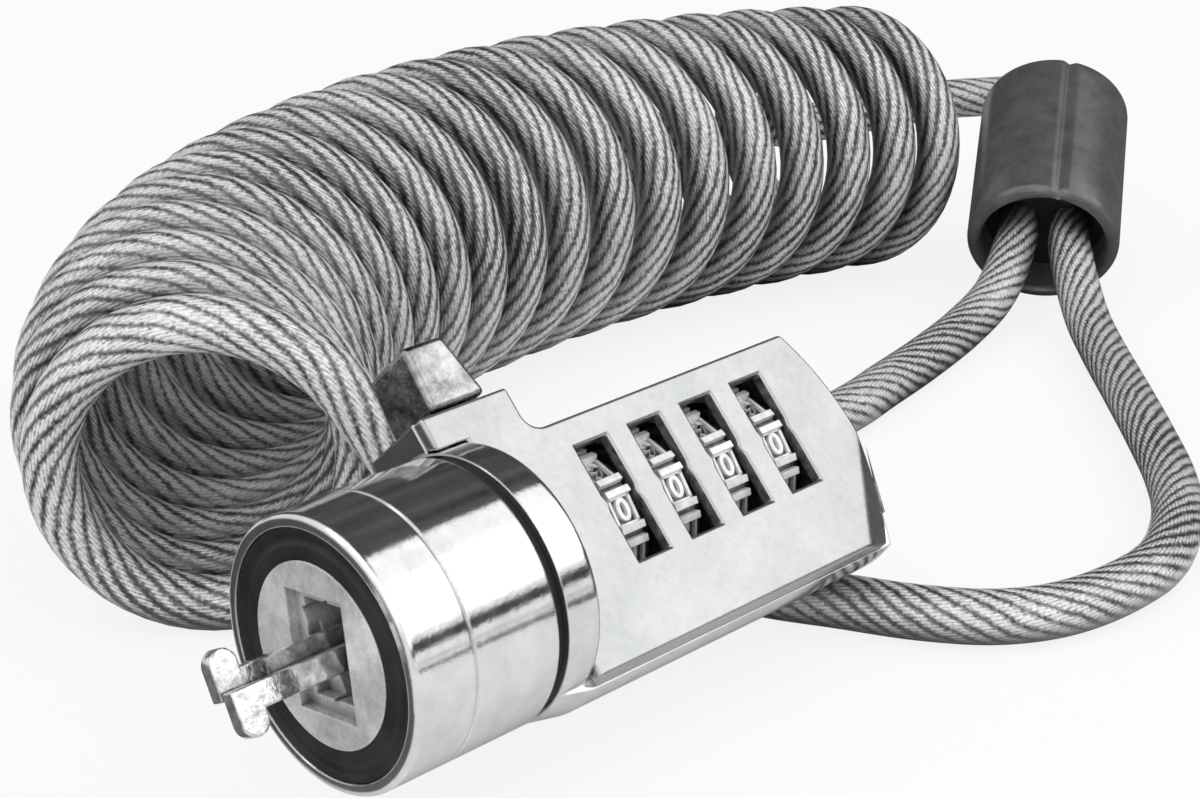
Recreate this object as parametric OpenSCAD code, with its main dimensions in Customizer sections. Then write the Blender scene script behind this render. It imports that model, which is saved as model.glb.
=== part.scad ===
// Coiled cable lock for portable computers.
// The lock head lies along X with its T-shaped hook pointing to -X, rolled over on its side
// on top of its own cable, which is wound in a springy coil and ends in a crimped loop.

/* [Nose] */
// Outer radius of the round nose
nose_r = 10; // [9:0.1:12]
// Length of the front ring, rim to seam
ring_len = 5.1; // [4:0.1:7]
// Length of the plain collar behind the seam
collar_len = 7.4; // [6.5:0.1:10]
// Width of the black gasket
gasket_w = 1; // [0.6:0.1:1.6]
// Depth of the groove that the gasket leaves
gasket_recess = 0.6; // [0.3:0.05:0.9]
// Wall of the ring and collar
nose_wall = 1.8; // [1.4:0.1:2.2]
// Lip of the ring round the rubber bumper
rim_lip = 0.95; // [0.7:0.05:1.3]
// Width of the rubber bumper between the ring and the hooks' face disc
bumper_w = 2.35; // [1.9:0.05:2.7]
// Angle of the T-hook from the width of the body
hook_turn = 16; // [0:1:45]
// Angle of the recess in the face disc from the width of the body
recess_turn = 36; // [0:1:45]

/* [T-hook] */
// How far the hooks stand out of the nose
hook_reach = 8; // [5:0.1:9]
// Thickness of the hook feet along the lock
foot_t = 2.2; // [1.6:0.1:2.6]
// Overall width of the two feet
hook_span = 6.2; // [5.4:0.1:6.8]
// Thickness of one hook plate
hook_t = 1.25; // [1:0.05:1.4]
// Width of one hook shank
shank_w = 1.8; // [1.4:0.1:2.2]

/* [Body] */
// Radius of the rounded body
body_r = 10.6; // [10.2:0.1:12.5]
// Length of the round shoulder in front of the dial plate
shoulder_len = 3.2; // [2.6:0.1:4.5]
// Height of the dial plate over the nose axis
plate_h = 4; // [3.4:0.1:4.8]
// Thickness of the dial plate
plate_t = 1.2; // [0.9:0.1:1.5]
// Distance of the flat far wall from the nose axis
far_flat = 8.2; // [8:0.1:9]
// Wall of the casing
wall = 1.4; // [1.1:0.1:1.6]
// Length of the body behind the last dial
rear_len = 5.6; // [5:0.1:12]
// Bulge of the rear end
rear_bulge = 1.9; // [0.8:0.1:2]
// Roll of the lock head as it lies
roll = 46; // [0:1:60]

/* [Dials] */
// Room between the dials and the casing
dial_gap = 0.13; // [0.1:0.01:0.5]
// Width of a dial
dial_w = 4.3; // [3.6:0.1:4.6]
// Distance from one dial to the next
dial_pitch = 5.5; // [5.3:0.1:6]
// Distance from the body's front face to the first window
window_start = 11.5; // [11:0.1:13]
// Width of a window along the lock
window_w = 3.15; // [2.4:0.05:3.6]
// Length of a window across the lock
window_len = 9.4; // [8:0.1:10]
// Radius of the spindle
spindle_r = 1.5; // [1.2:0.05:1.7]
// Side offset of the spindle from the nose axis
spindle_side = 1.2; // [0.8:0.1:1.6]
// Drop of the spindle below the nose axis
spindle_drop = 2.5; // [2.3:0.05:2.8]

/* [Thumb slide] */
// Travel of the thumb slide
slide_travel = 2.6; // [1.5:0.1:2.8]
// Length of the housing lobe along the lock
lobe_len = 8.2; // [8:0.1:9.5]
// Reach of the housing lobe from the nose axis
lobe_reach = 11.9; // [11.5:0.1:13]
// Height of the housing lobe below the plate
lobe_h = 6.4; // [5.4:0.1:7]
// How far the thumb tab stands out of the lobe
tab_reach = 5.3; // [3:0.1:7]
// Length of the tab at its foot
tab_len = 5.1; // [4:0.1:5.4]
// Height of the tab at its foot
tab_h = 6; // [4:0.1:6.4]

/* [Cable] */
// Diameter of the coated cable
cable_d = 4.5; // [3.5:0.1:4.7]
// Outer radius of the coil's turns at its ends
coil_r = 14.8; // [13:0.1:16]
// Number of turns of the coil
coil_turns = 18; // [12:1:18]
// Distance between the coil's two ends along the lock
coil_span = 105.9; // [104:0.1:115]
// Outer radius of the ferrule
ferrule_r = 7.9; // [7.2:0.05:8.5]
// Length of the ferrule
ferrule_len = 21.6; // [18:0.1:28]
// Wall of the ferrule sleeve
ferrule_wall = 1.6; // [1:0.1:2]

/* [Hidden] */
$fn = 72;

// Running clearance of a shaft in its bore, and gap between fixed neighbours
run_fit = 0.05;
seat_gap = 0.05;
// Overlap that makes a cut pass cleanly through a face
cut = 1;

// Stations along the lock, from the rim of the nose
collar_x = ring_len;
gasket_x = collar_x + collar_len;
body_x = gasket_x + gasket_w;
plate_x = body_x + shoulder_len;
first_dial = body_x + window_start + window_w / 2;
last_dial_end = first_dial + 3 * dial_pitch + dial_w / 2;
rear_x = last_dial_end + rear_len;
bulkhead_t = 1.5;
cavity_x = body_x + bulkhead_t;
rear_wall = 1.6;
cavity_end = rear_x - rear_bulge - rear_wall;
edge_round = 0.6;

// Nose interior
nose_bore = nose_r - nose_wall;
bumper_depth = 2.2;
bumper_r = nose_r - rim_lip;
disc_r = bumper_r - bumper_w;
nose_edge = 0.45;
disc_back = ring_len - 0.1;
recess_len = 8.7;
recess_w = 6;
recess_depth = 1;
recess_step = 0.8;
pocket_depth = 2;
disc_slot_len = 6.8;
disc_slot_w = 2 * hook_t + 0.6;

// Hooks
hook_pivot_x = ring_len + 2.9;
hook_boss_r = 2.2;
hook_gap = 0.06;
pin_r = 0.8;
pin_len = 12;
shank_inset = 0.3;

// Cover, rear end and plate
plate_under = plate_h - plate_t;
rear_chord = body_r - 1.7;
rear_round_r = (rear_chord * rear_chord + rear_bulge * rear_bulge) / (2 * rear_bulge);
rear_centre_y = -1;
facet_inset = 0.3;
facet_side = -1.3;
facet_turn = 32;
facet_drop = 22;
mark_h = 0.22;
mark_len = 0.7;

// Lobe and slide
lobe_x = body_x + 0.4;
lobe_end = lobe_x + lobe_len;
lobe_wall = 1;
lobe_floor = 1;
stem_len = 2.8;
stem_x = lobe_x + 1.7;
stem_h = 2.8;
stem_top = plate_under - 0.4;
tab_x = lobe_x + 1.55;
tab_top = plate_h - 0.15;
tab_taper = 1.1;
tab_slope = 0.6;
tab_gap = 0.2;
carriage_x = stem_x + 0.2;
carriage_t = stem_len - 0.4;
carriage_low = -spindle_drop - spindle_r - 0.5;
carriage_near = -4;
rod_r = 1.2;
rod_tip_x = hook_pivot_x + hook_boss_r + 0.4;

// Dials and their shaft
dial_r = body_r - wall - norm([spindle_side, spindle_drop]) - dial_gap;
dial_facets = 10;
dial_phase = 8;
rib_h = 0.45;
rib_w = 0.5;
rib_step = 5;
window_gap = 0.45;
clutch_r = 2.9;
clutch_w = dial_w - 0.6;
spindle_x = carriage_x;
spindle_end = cavity_end - 0.2;
spacer_r = 4.2;
spacer_t = 0.7;
leaf_t = 0.3;
leaf_h = 3;
leaf_gap = 0.1;
bearing_x = last_dial_end + 0.35;
bearing_t = cavity_end - bearing_x - 0.05;

// Screws
screw_inset = 4;
screw_y = screw_inset - body_r;
screw_r = 0.7;
screw_head_r = 1.2;
boss_r = 1.25;
pillar_r = 1.75;
front_screw_x = first_dial - dial_w / 2 - boss_r - 0.45;
rear_screw_x = bearing_x + boss_r + 0.35;
boss_low = -2;
screw_floor = boss_low - 2;
screw_bite = 2.6;
reset_r = 1.9;
reset_y = -2.4;
reset_z = -4.6;
reset_len = 4.4;
reset_sunk = 0.5;

// Cable
cable_r = cable_d / 2;
rest_gap = 0.1;
floor_z = -body_r - cable_d - rest_gap;
lay_z = floor_z + cable_r;
socket_r = cable_r + 0.75;
socket_x = 23.2;
socket_neck = 5.5;
socket_y = body_r + socket_neck;
socket_top = -2.6;
socket_len = 7;
socket_grip = 2.6;
pivot_r = 1.8;
pivot_z = socket_top - socket_grip - pivot_r - 0.3;
pivot_in = 7.4;

// The coil's axis is a curve that starts behind the nose and swings round the far side;
// its turns lean away from square to that curve
coil_facing = 43;
coil_facing_end = 1;
coil_facing_bow = 4;
coil_swell = 1.3;
coil_taper = 0.6;
coil_phase = 150;
coil_end_phase = 30;
coil_sweep = 360 * coil_turns + coil_phase - coil_end_phase;
coil_wind = coil_r - cable_r;
coil_rings = 24;
coil_sides = 6;
coil_steps = round(coil_rings * coil_sweep / 360);
coil_start = [
    socket_x - 2 - coil_wind * sin(coil_facing), socket_y + 2.3 + coil_wind * cos(coil_facing)
];
coil_pull_1 = coil_start + [0.13 * coil_span, 38.6];
coil_pull_2 = coil_start + [0.68 * coil_span, 37.3];
coil_end = coil_start + [coil_span, 24];

// Ferrule: centre of its open mouth beside the coil's far end, heading and tilt
ferrule_heading = 34;
ferrule_tilt = 24;
strand_gap = 5.6;
ferrule_mouth = [coil_end.x + 0.3, coil_end.y - 23.8, floor_z + ferrule_r * cos(ferrule_tilt) + 0.05];

// Routes of the free stretches, chosen by hand: seen from the coil's end, from the
// ferrule's mouth, and under the rear of the lock
lead_offsets = [[2.4, 15.6, -3.9], [7.4, 15.4, -4.6], [12.9, 13.1, -4.3], [18.3, 9.6, -3.5],
    [22.8, 5.8, -2.8], [25.7, 1.6, -2.2], [26, -2.8, -0.8], [23.7, -6.6, 0.8]];
right_offsets = [[-4, -8.5, 1.3], [-8.7, -14, 0], [-17, -22.9, 0], [-23.6, -29.9, 0],
    [-30, -36.3, 0], [-36.2, -41.2, 0], [-43.8, -44.9, 0]];
left_offsets = [[-46.3, -7, 0], [-37.8, -6.2, 0], [-31.7, -5, 0], [-23.6, -3.4, 0],
    [-14.7, -1.4, 0.3], [-7.6, 0.1, 1.8]];
under_route = [[68.4, -17.8, lay_z], [61.8, -16.7, lay_z], [56.8, -13.8, lay_z], [53, -9, lay_z],
    [50, -3.2, lay_z], [47, 2.8, lay_z], [45.6, 8.8, lay_z], [47.4, 14.6, lay_z],
    [52.4, 18.6, lay_z], [58.6, 20.2, lay_z], [65, 20.6, lay_z]];

// ---- helpers -------------------------------------------------------------------

// Lays the head over on its side
module in_head() {
    rotate([roll, 0, 0]) children();
}

// A round piece about the lock's own axis: the outline's X is the radius, its Y the station
module turned() {
    rotate([0, 90, 0]) rotate_extrude() children();
}

// A cylinder along the lock from station x, beside the axis by y and above it by z
module rod(x, len, r, y = 0, z = 0) {
    translate([x, y, z]) rotate([0, 90, 0]) cylinder(h = len, r = r);
}

// An outline across the lock, given a length along it
module along(x, len) {
    translate([x, 0, 0]) rotate([90, 0, 90]) linear_extrude(len) children();
}

// A box from its lowest to its highest corner
module block(low, high) {
    translate(low) cube(high - low);
}

function unit(v) = v / norm(v);

function headings(p) = [
    for (i = [0 : len(p) - 1]) unit(p[min(i + 1, len(p) - 1)] - p[max(i - 1, 0)])
];

// Carries one side direction along a path without twisting it
function side_dirs(t, first) = [
    for (i = 0, n = unit(first - (first * t[0]) * t[0]);
        i < len(t);
        i = i + 1, n = i < len(t) ? unit(n - (n * t[i]) * t[i]) : n) n
];

// One unbroken round tube of radius r with the given number of sides
module tube(path, r, sides) {
    t = headings(path);
    n = side_dirs(t, abs(t[0].z) < 0.9 ? [0, 0, 1] : [1, 0, 0]);
    count = len(path);
    points = [
        for (i = [0 : count - 1], k = [0 : sides - 1])
            path[i] + r * (cos(360 * k / sides) * n[i] + sin(360 * k / sides) * cross(t[i], n[i]))
    ];
    walls = [
        for (i = [0 : count - 2], k = [0 : sides - 1])
            let (a = i * sides + k, b = i * sides + (k + 1) % sides)
                each [[a, a + sides, b], [b, a + sides, b + sides]]
    ];
    first_cap = [for (k = [1 : sides - 2]) [0, k, k + 1]];
    base = (count - 1) * sides;
    last_cap = [for (k = [1 : sides - 2]) [base, base + k + 1, base + k]];
    polyhedron(points = points, faces = concat(walls, first_cap, last_cap));
}

// A smooth curve through the route's points, in equal steps between neighbours
function between(p, i, u) =
    let (a = p[max(i - 1, 0)], b = p[i], c = p[i + 1], d = p[min(i + 2, len(p) - 1)])
        0.5 * (2 * b + (c - a) * u + (2 * a - 5 * b + 4 * c - d) * u * u
            + (3 * b - a - 3 * c + d) * u * u * u);

function smooth(p, steps) = concat(
    [for (i = [0 : len(p) - 2], k = [0 : steps - 1]) between(p, i, k / steps)],
    [p[len(p) - 1]]
);

// ---- nose ----------------------------------------------------------------------

module nose_ring() {
    color("silver") in_head() turned() {
        translate([nose_bore, bumper_depth]) square([nose_wall, ring_len - bumper_depth - seat_gap]);
        translate([bumper_r, nose_edge]) square([rim_lip, bumper_depth + cut - nose_edge]);
        translate([bumper_r, 0]) square([rim_lip - nose_edge, nose_edge]);
        translate([nose_r - nose_edge, nose_edge]) circle(nose_edge);
    }
}

module rubber_bumper() {
    color("#26292b") in_head() turned() difference() {
        translate([disc_r + seat_gap, 0.15])
            square([bumper_r - disc_r - 2 * seat_gap, bumper_depth - 0.15 - seat_gap]);
        // A shallow trough divides the bumper into two soft lips
        translate([(bumper_r + disc_r) / 2 + 0.35, -0.35]) circle(0.7);
    }
}

module nose_disc() {
    color("#b4b7b8") in_head() difference() {
        union() {
            rod(0.1, bumper_depth + cut, disc_r);
            rod(bumper_depth, disc_back - bumper_depth, nose_bore - seat_gap);
        }
        rotate([recess_turn, 0, 0]) {
            block([-cut, -recess_len / 2, -recess_w / 2], [recess_depth, recess_len / 2, recess_w / 2]);
            // A deeper pocket inside it gives the recess its stepped outline
            block([-cut, -recess_len / 2 + recess_step, -recess_w / 2 + recess_step],
                [pocket_depth, recess_len / 2 - recess_step, recess_w / 2 - recess_step]);
        }
        rotate([hook_turn, 0, 0]) block([-cut, -disc_slot_len / 2, -disc_slot_w / 2],
            [ring_len + cut, disc_slot_len / 2, disc_slot_w / 2]);
    }
}

// One hook in its own plane: shank, foot and pivot boss
module hook_outline() {
    translate([hook_pivot_x, 0]) circle(hook_boss_r);
    translate([-hook_reach + foot_t / 2, -shank_inset])
        square([hook_pivot_x + hook_reach - foot_t / 2, shank_w]);
    translate([-hook_reach, -shank_inset]) square([foot_t, hook_span / 2 - foot_t / 2 + shank_inset]);
    translate([-hook_reach + foot_t / 2, hook_span / 2 - foot_t / 2]) circle(foot_t / 2);
}

module hook_plate(side) {
    in_head() rotate([hook_turn, 0, 0]) difference() {
        translate([0, 0, side > 0 ? -hook_gap - hook_t : hook_gap])
            linear_extrude(hook_t) mirror([0, side > 0 ? 0 : 1]) hook_outline();
        translate([hook_pivot_x, 0, -hook_t - cut]) cylinder(h = 2 * (hook_t + cut), r = pin_r + run_fit);
    }
}

module hook_upper() {
    color("gainsboro") hook_plate(1);
}

module hook_lower() {
    color("gainsboro") hook_plate(-1);
}

module hook_pin() {
    color("gray") in_head() rotate([hook_turn, 0, 0])
        translate([hook_pivot_x, 0, -pin_len / 2]) cylinder(h = pin_len, r = pin_r);
}

module hook_carrier() {
    slot_half = hook_gap + hook_t + 0.1;
    color("#8e9192") in_head() difference() {
        rod(ring_len, collar_len - seat_gap, nose_bore - seat_gap);
        rotate([hook_turn, 0, 0]) {
            block([0, -nose_r, -slot_half], [gasket_x + cut, nose_r, slot_half]);
            translate([hook_pivot_x, 0, -nose_r]) cylinder(h = 2 * nose_r, r = pin_r + 0.01);
        }
        rod(ring_len - cut, collar_len + 2 * cut, rod_r + 0.3);
    }
}

module nose_collar() {
    color("silver") in_head() turned() difference() {
        translate([nose_bore, collar_x]) square([nose_wall, collar_len]);
        // A fine seam parts the collar from the ring
        translate([nose_r, collar_x]) circle(0.18);
    }
}

module collar_gasket() {
    color("#1d1f20") in_head() turned()
        translate([nose_bore - seat_gap, gasket_x])
            square([nose_r - gasket_recess - nose_bore + seat_gap, gasket_w]);
}

// ---- body ----------------------------------------------------------------------

// Section across the body: round, cut flat at the top and along the far side
module body_section(r, top, far) {
    intersection() {
        circle(r);
        translate([-2 * r, -2 * r]) square([2 * r + far, 2 * r + top]);
    }
}

// Everything in front of the bulged rear end
module rear_limit() {
    translate([rear_x - rear_round_r, rear_centre_y, -2 * body_r])
        cylinder(h = 4 * body_r, r = rear_round_r, $fn = 96);
}

module casing_solid() {
    intersection() {
        along(plate_x, rear_x - plate_x) body_section(body_r, plate_under, far_flat);
        rear_limit();
    }
    turned() {
        translate([0, body_x]) square([nose_r, shoulder_len - edge_round]);
        translate([0, body_x]) square([nose_r - edge_round, shoulder_len]);
        translate([nose_r - edge_round, plate_x - edge_round]) circle(edge_round);
    }
    // Below the plate the body flares straight from the gasket
    intersection() {
        along(body_x, shoulder_len + seat_gap) body_section(body_r, plate_under, far_flat);
        turned() polygon([[0, body_x], [nose_r, body_x], [body_r, plate_x], [body_r, plate_x + cut], [0, plate_x + cut]]);
    }
    block([lobe_x, far_flat / 2, plate_under - lobe_h], [lobe_end, lobe_reach, plate_under]);
}

module casing_cavity() {
    along(cavity_x, cavity_end - cavity_x)
        body_section(body_r - wall, plate_h + cut, far_flat - wall);
}

module lobe_cavity() {
    block([stem_x - 0.4, far_flat - wall - cut, plate_under - lobe_h + lobe_floor],
        [lobe_end - lobe_wall + 0.2, lobe_reach - lobe_wall, plate_h]);
}

// Window in the far wall that the stem of the tab slides in
module stem_slot() {
    block([stem_x - 0.2, lobe_reach - lobe_wall - cut, stem_top - stem_h - 0.2],
        [stem_x + stem_len + slide_travel + 0.2, lobe_reach + cut, plate_h]);
}

module pivot_hole() {
    translate([socket_x, pivot_in - 0.1, pivot_z]) rotate([-90, 0, 0])
        cylinder(h = body_r, r = pivot_r + run_fit);
}

module screw_seat(x) {
    translate([x, screw_y, -body_r]) cylinder(h = body_r, r = screw_r + 0.05);
    translate([x, screw_y, -2 * body_r]) cylinder(h = 2 * body_r + screw_floor, r = screw_head_r + 0.1);
}

// Pillars that the cover's bosses stand on and the screws come up through
module screw_pillars() {
    intersection() {
        for (x = [front_screw_x, rear_screw_x])
            translate([x, screw_y, -body_r]) cylinder(h = body_r + boss_low - seat_gap, r = pillar_r);
        rod(0, rear_x, body_r - wall / 2);
    }
}

module casing_room() {
    difference() {
        intersection() {
            casing_cavity();
            // The bulkhead and the round shoulder stay whole above the plate
            union() {
                block([cavity_x, -body_r, -body_r], [rear_x, body_r, plate_under]);
                block([plate_x, -body_r, 0], [rear_x, body_r, body_r]);
            }
        }
        screw_pillars();
    }
}

module body_casing() {
    color("gainsboro") difference() {
        in_head() difference() {
            casing_solid();
            casing_room();
            lobe_cavity();
            stem_slot();
            // Grooves that the dials turn in, cut into the far wall
            for (i = [0 : 3])
                rod(first_dial + i * dial_pitch - dial_w / 2 - dial_gap, dial_w + 2 * dial_gap,
                    dial_r + dial_gap, spindle_side, -spindle_drop);
            rod(body_x - cut, bulkhead_t + 2 * cut, rod_r + run_fit);
            rod(cavity_end - cut, rear_x, reset_r + run_fit, reset_y, reset_z);
            rod(cavity_end - cut, cut + slide_travel + 0.1, spindle_r + run_fit, spindle_side, -spindle_drop);
            screw_seat(front_screw_x);
            screw_seat(rear_screw_x);
            translate([rear_screw_x, screw_y, boss_low - 0.1]) cylinder(h = body_r, r = boss_r + 0.1);
        }
        pivot_hole();
    }
}

// Windows over the dials; a small point on each long side marks the reading line
module window_holes() {
    half_w = window_w / 2;
    half_len = window_len / 2;
    for (i = [0 : 3])
        translate([first_dial + i * dial_pitch, spindle_side, 0]) linear_extrude(plate_h + cut)
            polygon([[-half_w, -half_len], [half_w, -half_len], [half_w, -mark_len], [half_w - mark_h, 0],
                [half_w, mark_len], [half_w, half_len], [-half_w, half_len], [-half_w, mark_len],
                [mark_h - half_w, 0], [-half_w, -mark_len]]);
}

// Facet that lowers the near rear corner of the plate
module corner_facet() {
    translate([rear_x - facet_inset, facet_side, plate_h]) rotate([0, 0, -facet_turn]) rotate([0, facet_drop, 0])
        translate([-2 * body_r, -2 * body_r, 0]) cube(4 * body_r);
}

module body_cover() {
    fillet = 1.4;
    color("whitesmoke") in_head() difference() {
        union() {
            intersection() {
                along(plate_x + seat_gap, rear_x - plate_x) body_section(body_r, plate_h, far_flat);
                rear_limit();
                block([body_x, -body_r, plate_under], [rear_x, body_r, plate_h]);
            }
            block([lobe_x, far_flat - cut, plate_under], [lobe_end, lobe_reach, plate_h]);
            // Rounded inner corner where the lobe meets the far edge
            difference() {
                block([lobe_end - cut, far_flat - cut, plate_under],
                    [lobe_end + fillet, far_flat + fillet, plate_h]);
                translate([lobe_end + fillet, far_flat + fillet, 0]) cylinder(h = body_r, r = fillet);
            }
            for (x = [front_screw_x, rear_screw_x])
                translate([x, screw_y, boss_low]) cylinder(h = plate_under - boss_low, r = boss_r);
        }
        // Leaves the shoulder free
        rod(body_x - cut, shoulder_len + cut + seat_gap, nose_r + seat_gap);
        window_holes();
        corner_facet();
        for (x = [front_screw_x, rear_screw_x])
            translate([x, screw_y, boss_low - cut]) cylinder(h = screw_bite + 0.5 + cut, r = screw_r + 0.01);
    }
}

module cover_screw(x) {
    head_h = 0.9;
    slot_w = 0.4;
    translate([x, screw_y, screw_floor - seat_gap])
        cylinder(h = boss_low + screw_bite - screw_floor + seat_gap, r = screw_r);
    difference() {
        translate([x, screw_y, screw_floor - head_h]) cylinder(h = head_h - seat_gap / 2, r = screw_head_r);
        block([x - screw_head_r, screw_y - slot_w / 2, screw_floor - head_h - cut],
            [x + screw_head_r, screw_y + slot_w / 2, screw_floor - head_h / 2]);
    }
}

module cover_screws() {
    color("dimgray") in_head() {
        cover_screw(front_screw_x);
        cover_screw(rear_screw_x);
    }
}

module rear_bearing() {
    color("#8e9192") in_head() difference() {
        intersection() {
            along(bearing_x, bearing_t) body_section(body_r - wall - seat_gap, plate_under - seat_gap,
                far_flat - wall - seat_gap);
            block([0, -body_r, -body_r], [rear_x, body_r, body_r]);
        }
        rod(bearing_x - cut, bearing_t + 2 * cut, spindle_r + run_fit, spindle_side, -spindle_drop);
        rod(bearing_x - cut, bearing_t + 2 * cut, reset_r + 0.2, reset_y, reset_z);
        translate([rear_screw_x, screw_y, -body_r]) cylinder(h = 2 * body_r, r = pillar_r + 0.1);
        block([bearing_x - cut, -body_r, -body_r], [rear_x, screw_y, body_r]);
    }
}

module reset_screw() {
    head_x = rear_x - reset_sunk;
    color("dimgray") in_head() difference() {
        rod(head_x - reset_len, reset_len, reset_r, reset_y, reset_z);
        block([head_x - 0.7, reset_y - 0.3, reset_z - reset_r], [head_x + cut, reset_y + 0.3, reset_z + reset_r]);
    }
}

// ---- slide ---------------------------------------------------------------------

module thumb_slide() {
    tab_low = tab_top - tab_h;
    foot_y = lobe_reach + tab_gap;
    tip_y = lobe_reach + tab_reach;
    color("silver") in_head() union() {
        block([stem_x, far_flat - wall - 0.3, stem_top - stem_h], [stem_x + stem_len, foot_y + cut, stem_top]);
        difference() {
            // Narrows towards its tip
            translate([tab_x, 0, tab_low]) linear_extrude(tab_h)
                polygon([[0, foot_y], [tab_len, foot_y], [tab_len - tab_taper, tip_y], [tab_taper / 4, tip_y]]);
            // The underside rises towards the tip
            translate([tab_x - cut, 0, 0]) rotate([90, 0, 90]) linear_extrude(tab_len + 2 * cut)
                polygon([[foot_y, tab_low], [foot_y, tab_low - cut], [tip_y + cut, tab_low - cut],
                    [tip_y + cut, tab_low + tab_slope]]);
        }
    }
}

module slide_carriage() {
    color("#8e9192") in_head() difference() {
        block([carriage_x, carriage_near, carriage_low],
            [carriage_x + carriage_t, far_flat - wall - 0.3, stem_top - 0.2]);
        rod(0, rear_x, spindle_r, spindle_side, -spindle_drop);
        rod(0, rear_x, rod_r, 0, 0);
    }
}

module push_rod() {
    color("gray") in_head() {
        rod(rod_tip_x + rod_r, carriage_x + carriage_t - rod_tip_x - rod_r, rod_r);
        translate([rod_tip_x + rod_r, 0, 0]) sphere(rod_r);
    }
}

module slide_spring() {
    wire_r = 0.25;
    wind = spindle_r + 0.1 + wire_r;
    from_x = carriage_x + carriage_t + wire_r + 0.05;
    to_x = first_dial - dial_pitch / 2 - spacer_t / 2 - wire_r - 0.05;
    turns = 4;
    color("#9aa0a2") in_head() translate([0, spindle_side, -spindle_drop])
        tube([for (i = [0 : 12 * turns]) [from_x + (to_x - from_x) * i / (12 * turns),
            wind * cos(30 * i), wind * sin(30 * i)]], wire_r, 6);
}

module spindle() {
    color("gray") in_head()
        rod(spindle_x, spindle_end - spindle_x, spindle_r, spindle_side, -spindle_drop);
}

// ---- dials ---------------------------------------------------------------------

// A ten-sided wheel with a raised pair of ribs between neighbouring digits; its lower
// flanges run under the plate on both sides of the window
module dial(i) {
    facet_r = dial_r - rib_h;
    face_w = window_w - 2 * window_gap;
    flange_r = plate_under + spindle_drop - dial_gap;
    color("#b9bcbd") in_head() translate([first_dial + i * dial_pitch, spindle_side, -spindle_drop])
        difference() {
            union() {
                rod(-dial_w / 2, dial_w, flange_r);
                rotate([dial_phase + 180 / dial_facets, 0, 0]) rotate([0, 90, 0])
                    translate([0, 0, -face_w / 2]) cylinder(h = face_w, r = facet_r, $fn = dial_facets);
                for (k = [0 : dial_facets - 1], side = [-1, 1])
                    rotate([dial_phase + 360 * (k + 0.5) / dial_facets + side * rib_step, 0, 0])
                        block([-face_w / 2, -rib_w / 2, facet_r - 1], [face_w / 2, rib_w / 2, dial_r - 0.03]);
            }
            rod(-dial_w, 2 * dial_w, clutch_r);
        }
}

module clutch(i) {
    x = first_dial + i * dial_pitch - clutch_w / 2;
    color("#c9a75a") in_head() translate([x, spindle_side, -spindle_drop]) difference() {
        rod(0, clutch_w, clutch_r);
        rod(-cut, clutch_w + 2 * cut, spindle_r + run_fit);
        block([-cut, -0.35, -clutch_r + 0.5], [clutch_w + cut, 0.35, 0]);
    }
}

// Fixed plates that keep the dials apart, standing on the floor of the casing
module dial_spacers() {
    color("#8e9192") in_head() for (i = [0 : 3]) {
        x = first_dial + (i - 0.5) * dial_pitch - spacer_t / 2;
        difference() {
            intersection() {
                union() {
                    rod(x, spacer_t, spacer_r, spindle_side, -spindle_drop);
                    block([x, spindle_side - 1.5, -body_r], [x + spacer_t, spindle_side + 1.5, -spindle_drop]);
                }
                rod(x - cut, spacer_t + 2 * cut, body_r - wall);
            }
            rod(x - cut, spacer_t + 2 * cut, spindle_r + run_fit, spindle_side, -spindle_drop);
        }
    }
}

module detent_spring() {
    back_y = spindle_side - dial_r - leaf_gap - 0.8;
    color("#9aa0a2") in_head() {
        block([front_screw_x + pillar_r + seat_gap, back_y - leaf_t, -spindle_drop - leaf_h / 2],
            [rear_screw_x - pillar_r - seat_gap, back_y, -spindle_drop + leaf_h / 2]);
        for (i = [0 : 3])
            translate([first_dial + i * dial_pitch, back_y, -spindle_drop]) intersection() {
                sphere(0.8);
                block([-1, -0.1, -1], [1, 1, 1]);
            }
    }
}

// ---- cable ---------------------------------------------------------------------

// Value that runs from a to b with a bulge in the middle
function bowed(a, b, bow, v) = a * (1 - v) + b * v + 4 * bow * v * (1 - v);

function coil_wind_at(v) = bowed(coil_wind, coil_wind - coil_taper, coil_swell, v);

// Place on the coil's curved axis at the fraction v of its course
function coil_axis(v) =
    let (u = 1 - v,
        p = u * u * u * coil_start + 3 * u * u * v * coil_pull_1 + 3 * u * v * v * coil_pull_2
            + v * v * v * coil_end)
        [p.x, p.y, floor_z + cable_r + coil_wind_at(v)];

function coil_point(v) =
    let (facing = bowed(coil_facing, coil_facing_end, coil_facing_bow, v),
        phase = coil_phase - coil_sweep * v)
        coil_axis(v) + coil_wind_at(v) * (cos(phase) * [-sin(facing), cos(facing), 0]
            + sin(phase) * [0, 0, 1]);

coil_path = [for (i = [0 : coil_steps]) coil_point(i / coil_steps)];
coil_in = unit(coil_path[1] - coil_path[0]);
coil_out = unit(coil_path[coil_steps] - coil_path[coil_steps - 1]);
coil_first = coil_path[0] - cable_d * coil_in;
coil_last = coil_path[coil_steps] + cable_d * coil_out;

// Least gap between neighbouring turns, measured a turn and a little more apart
coil_gap = min([
    for (i = [0 : coil_steps - coil_rings - 4], k = [-4 : 4])
        norm(coil_path[i] - coil_path[i + coil_rings + k])
]) - cable_d;
echo(coil_gap = coil_gap);

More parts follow.
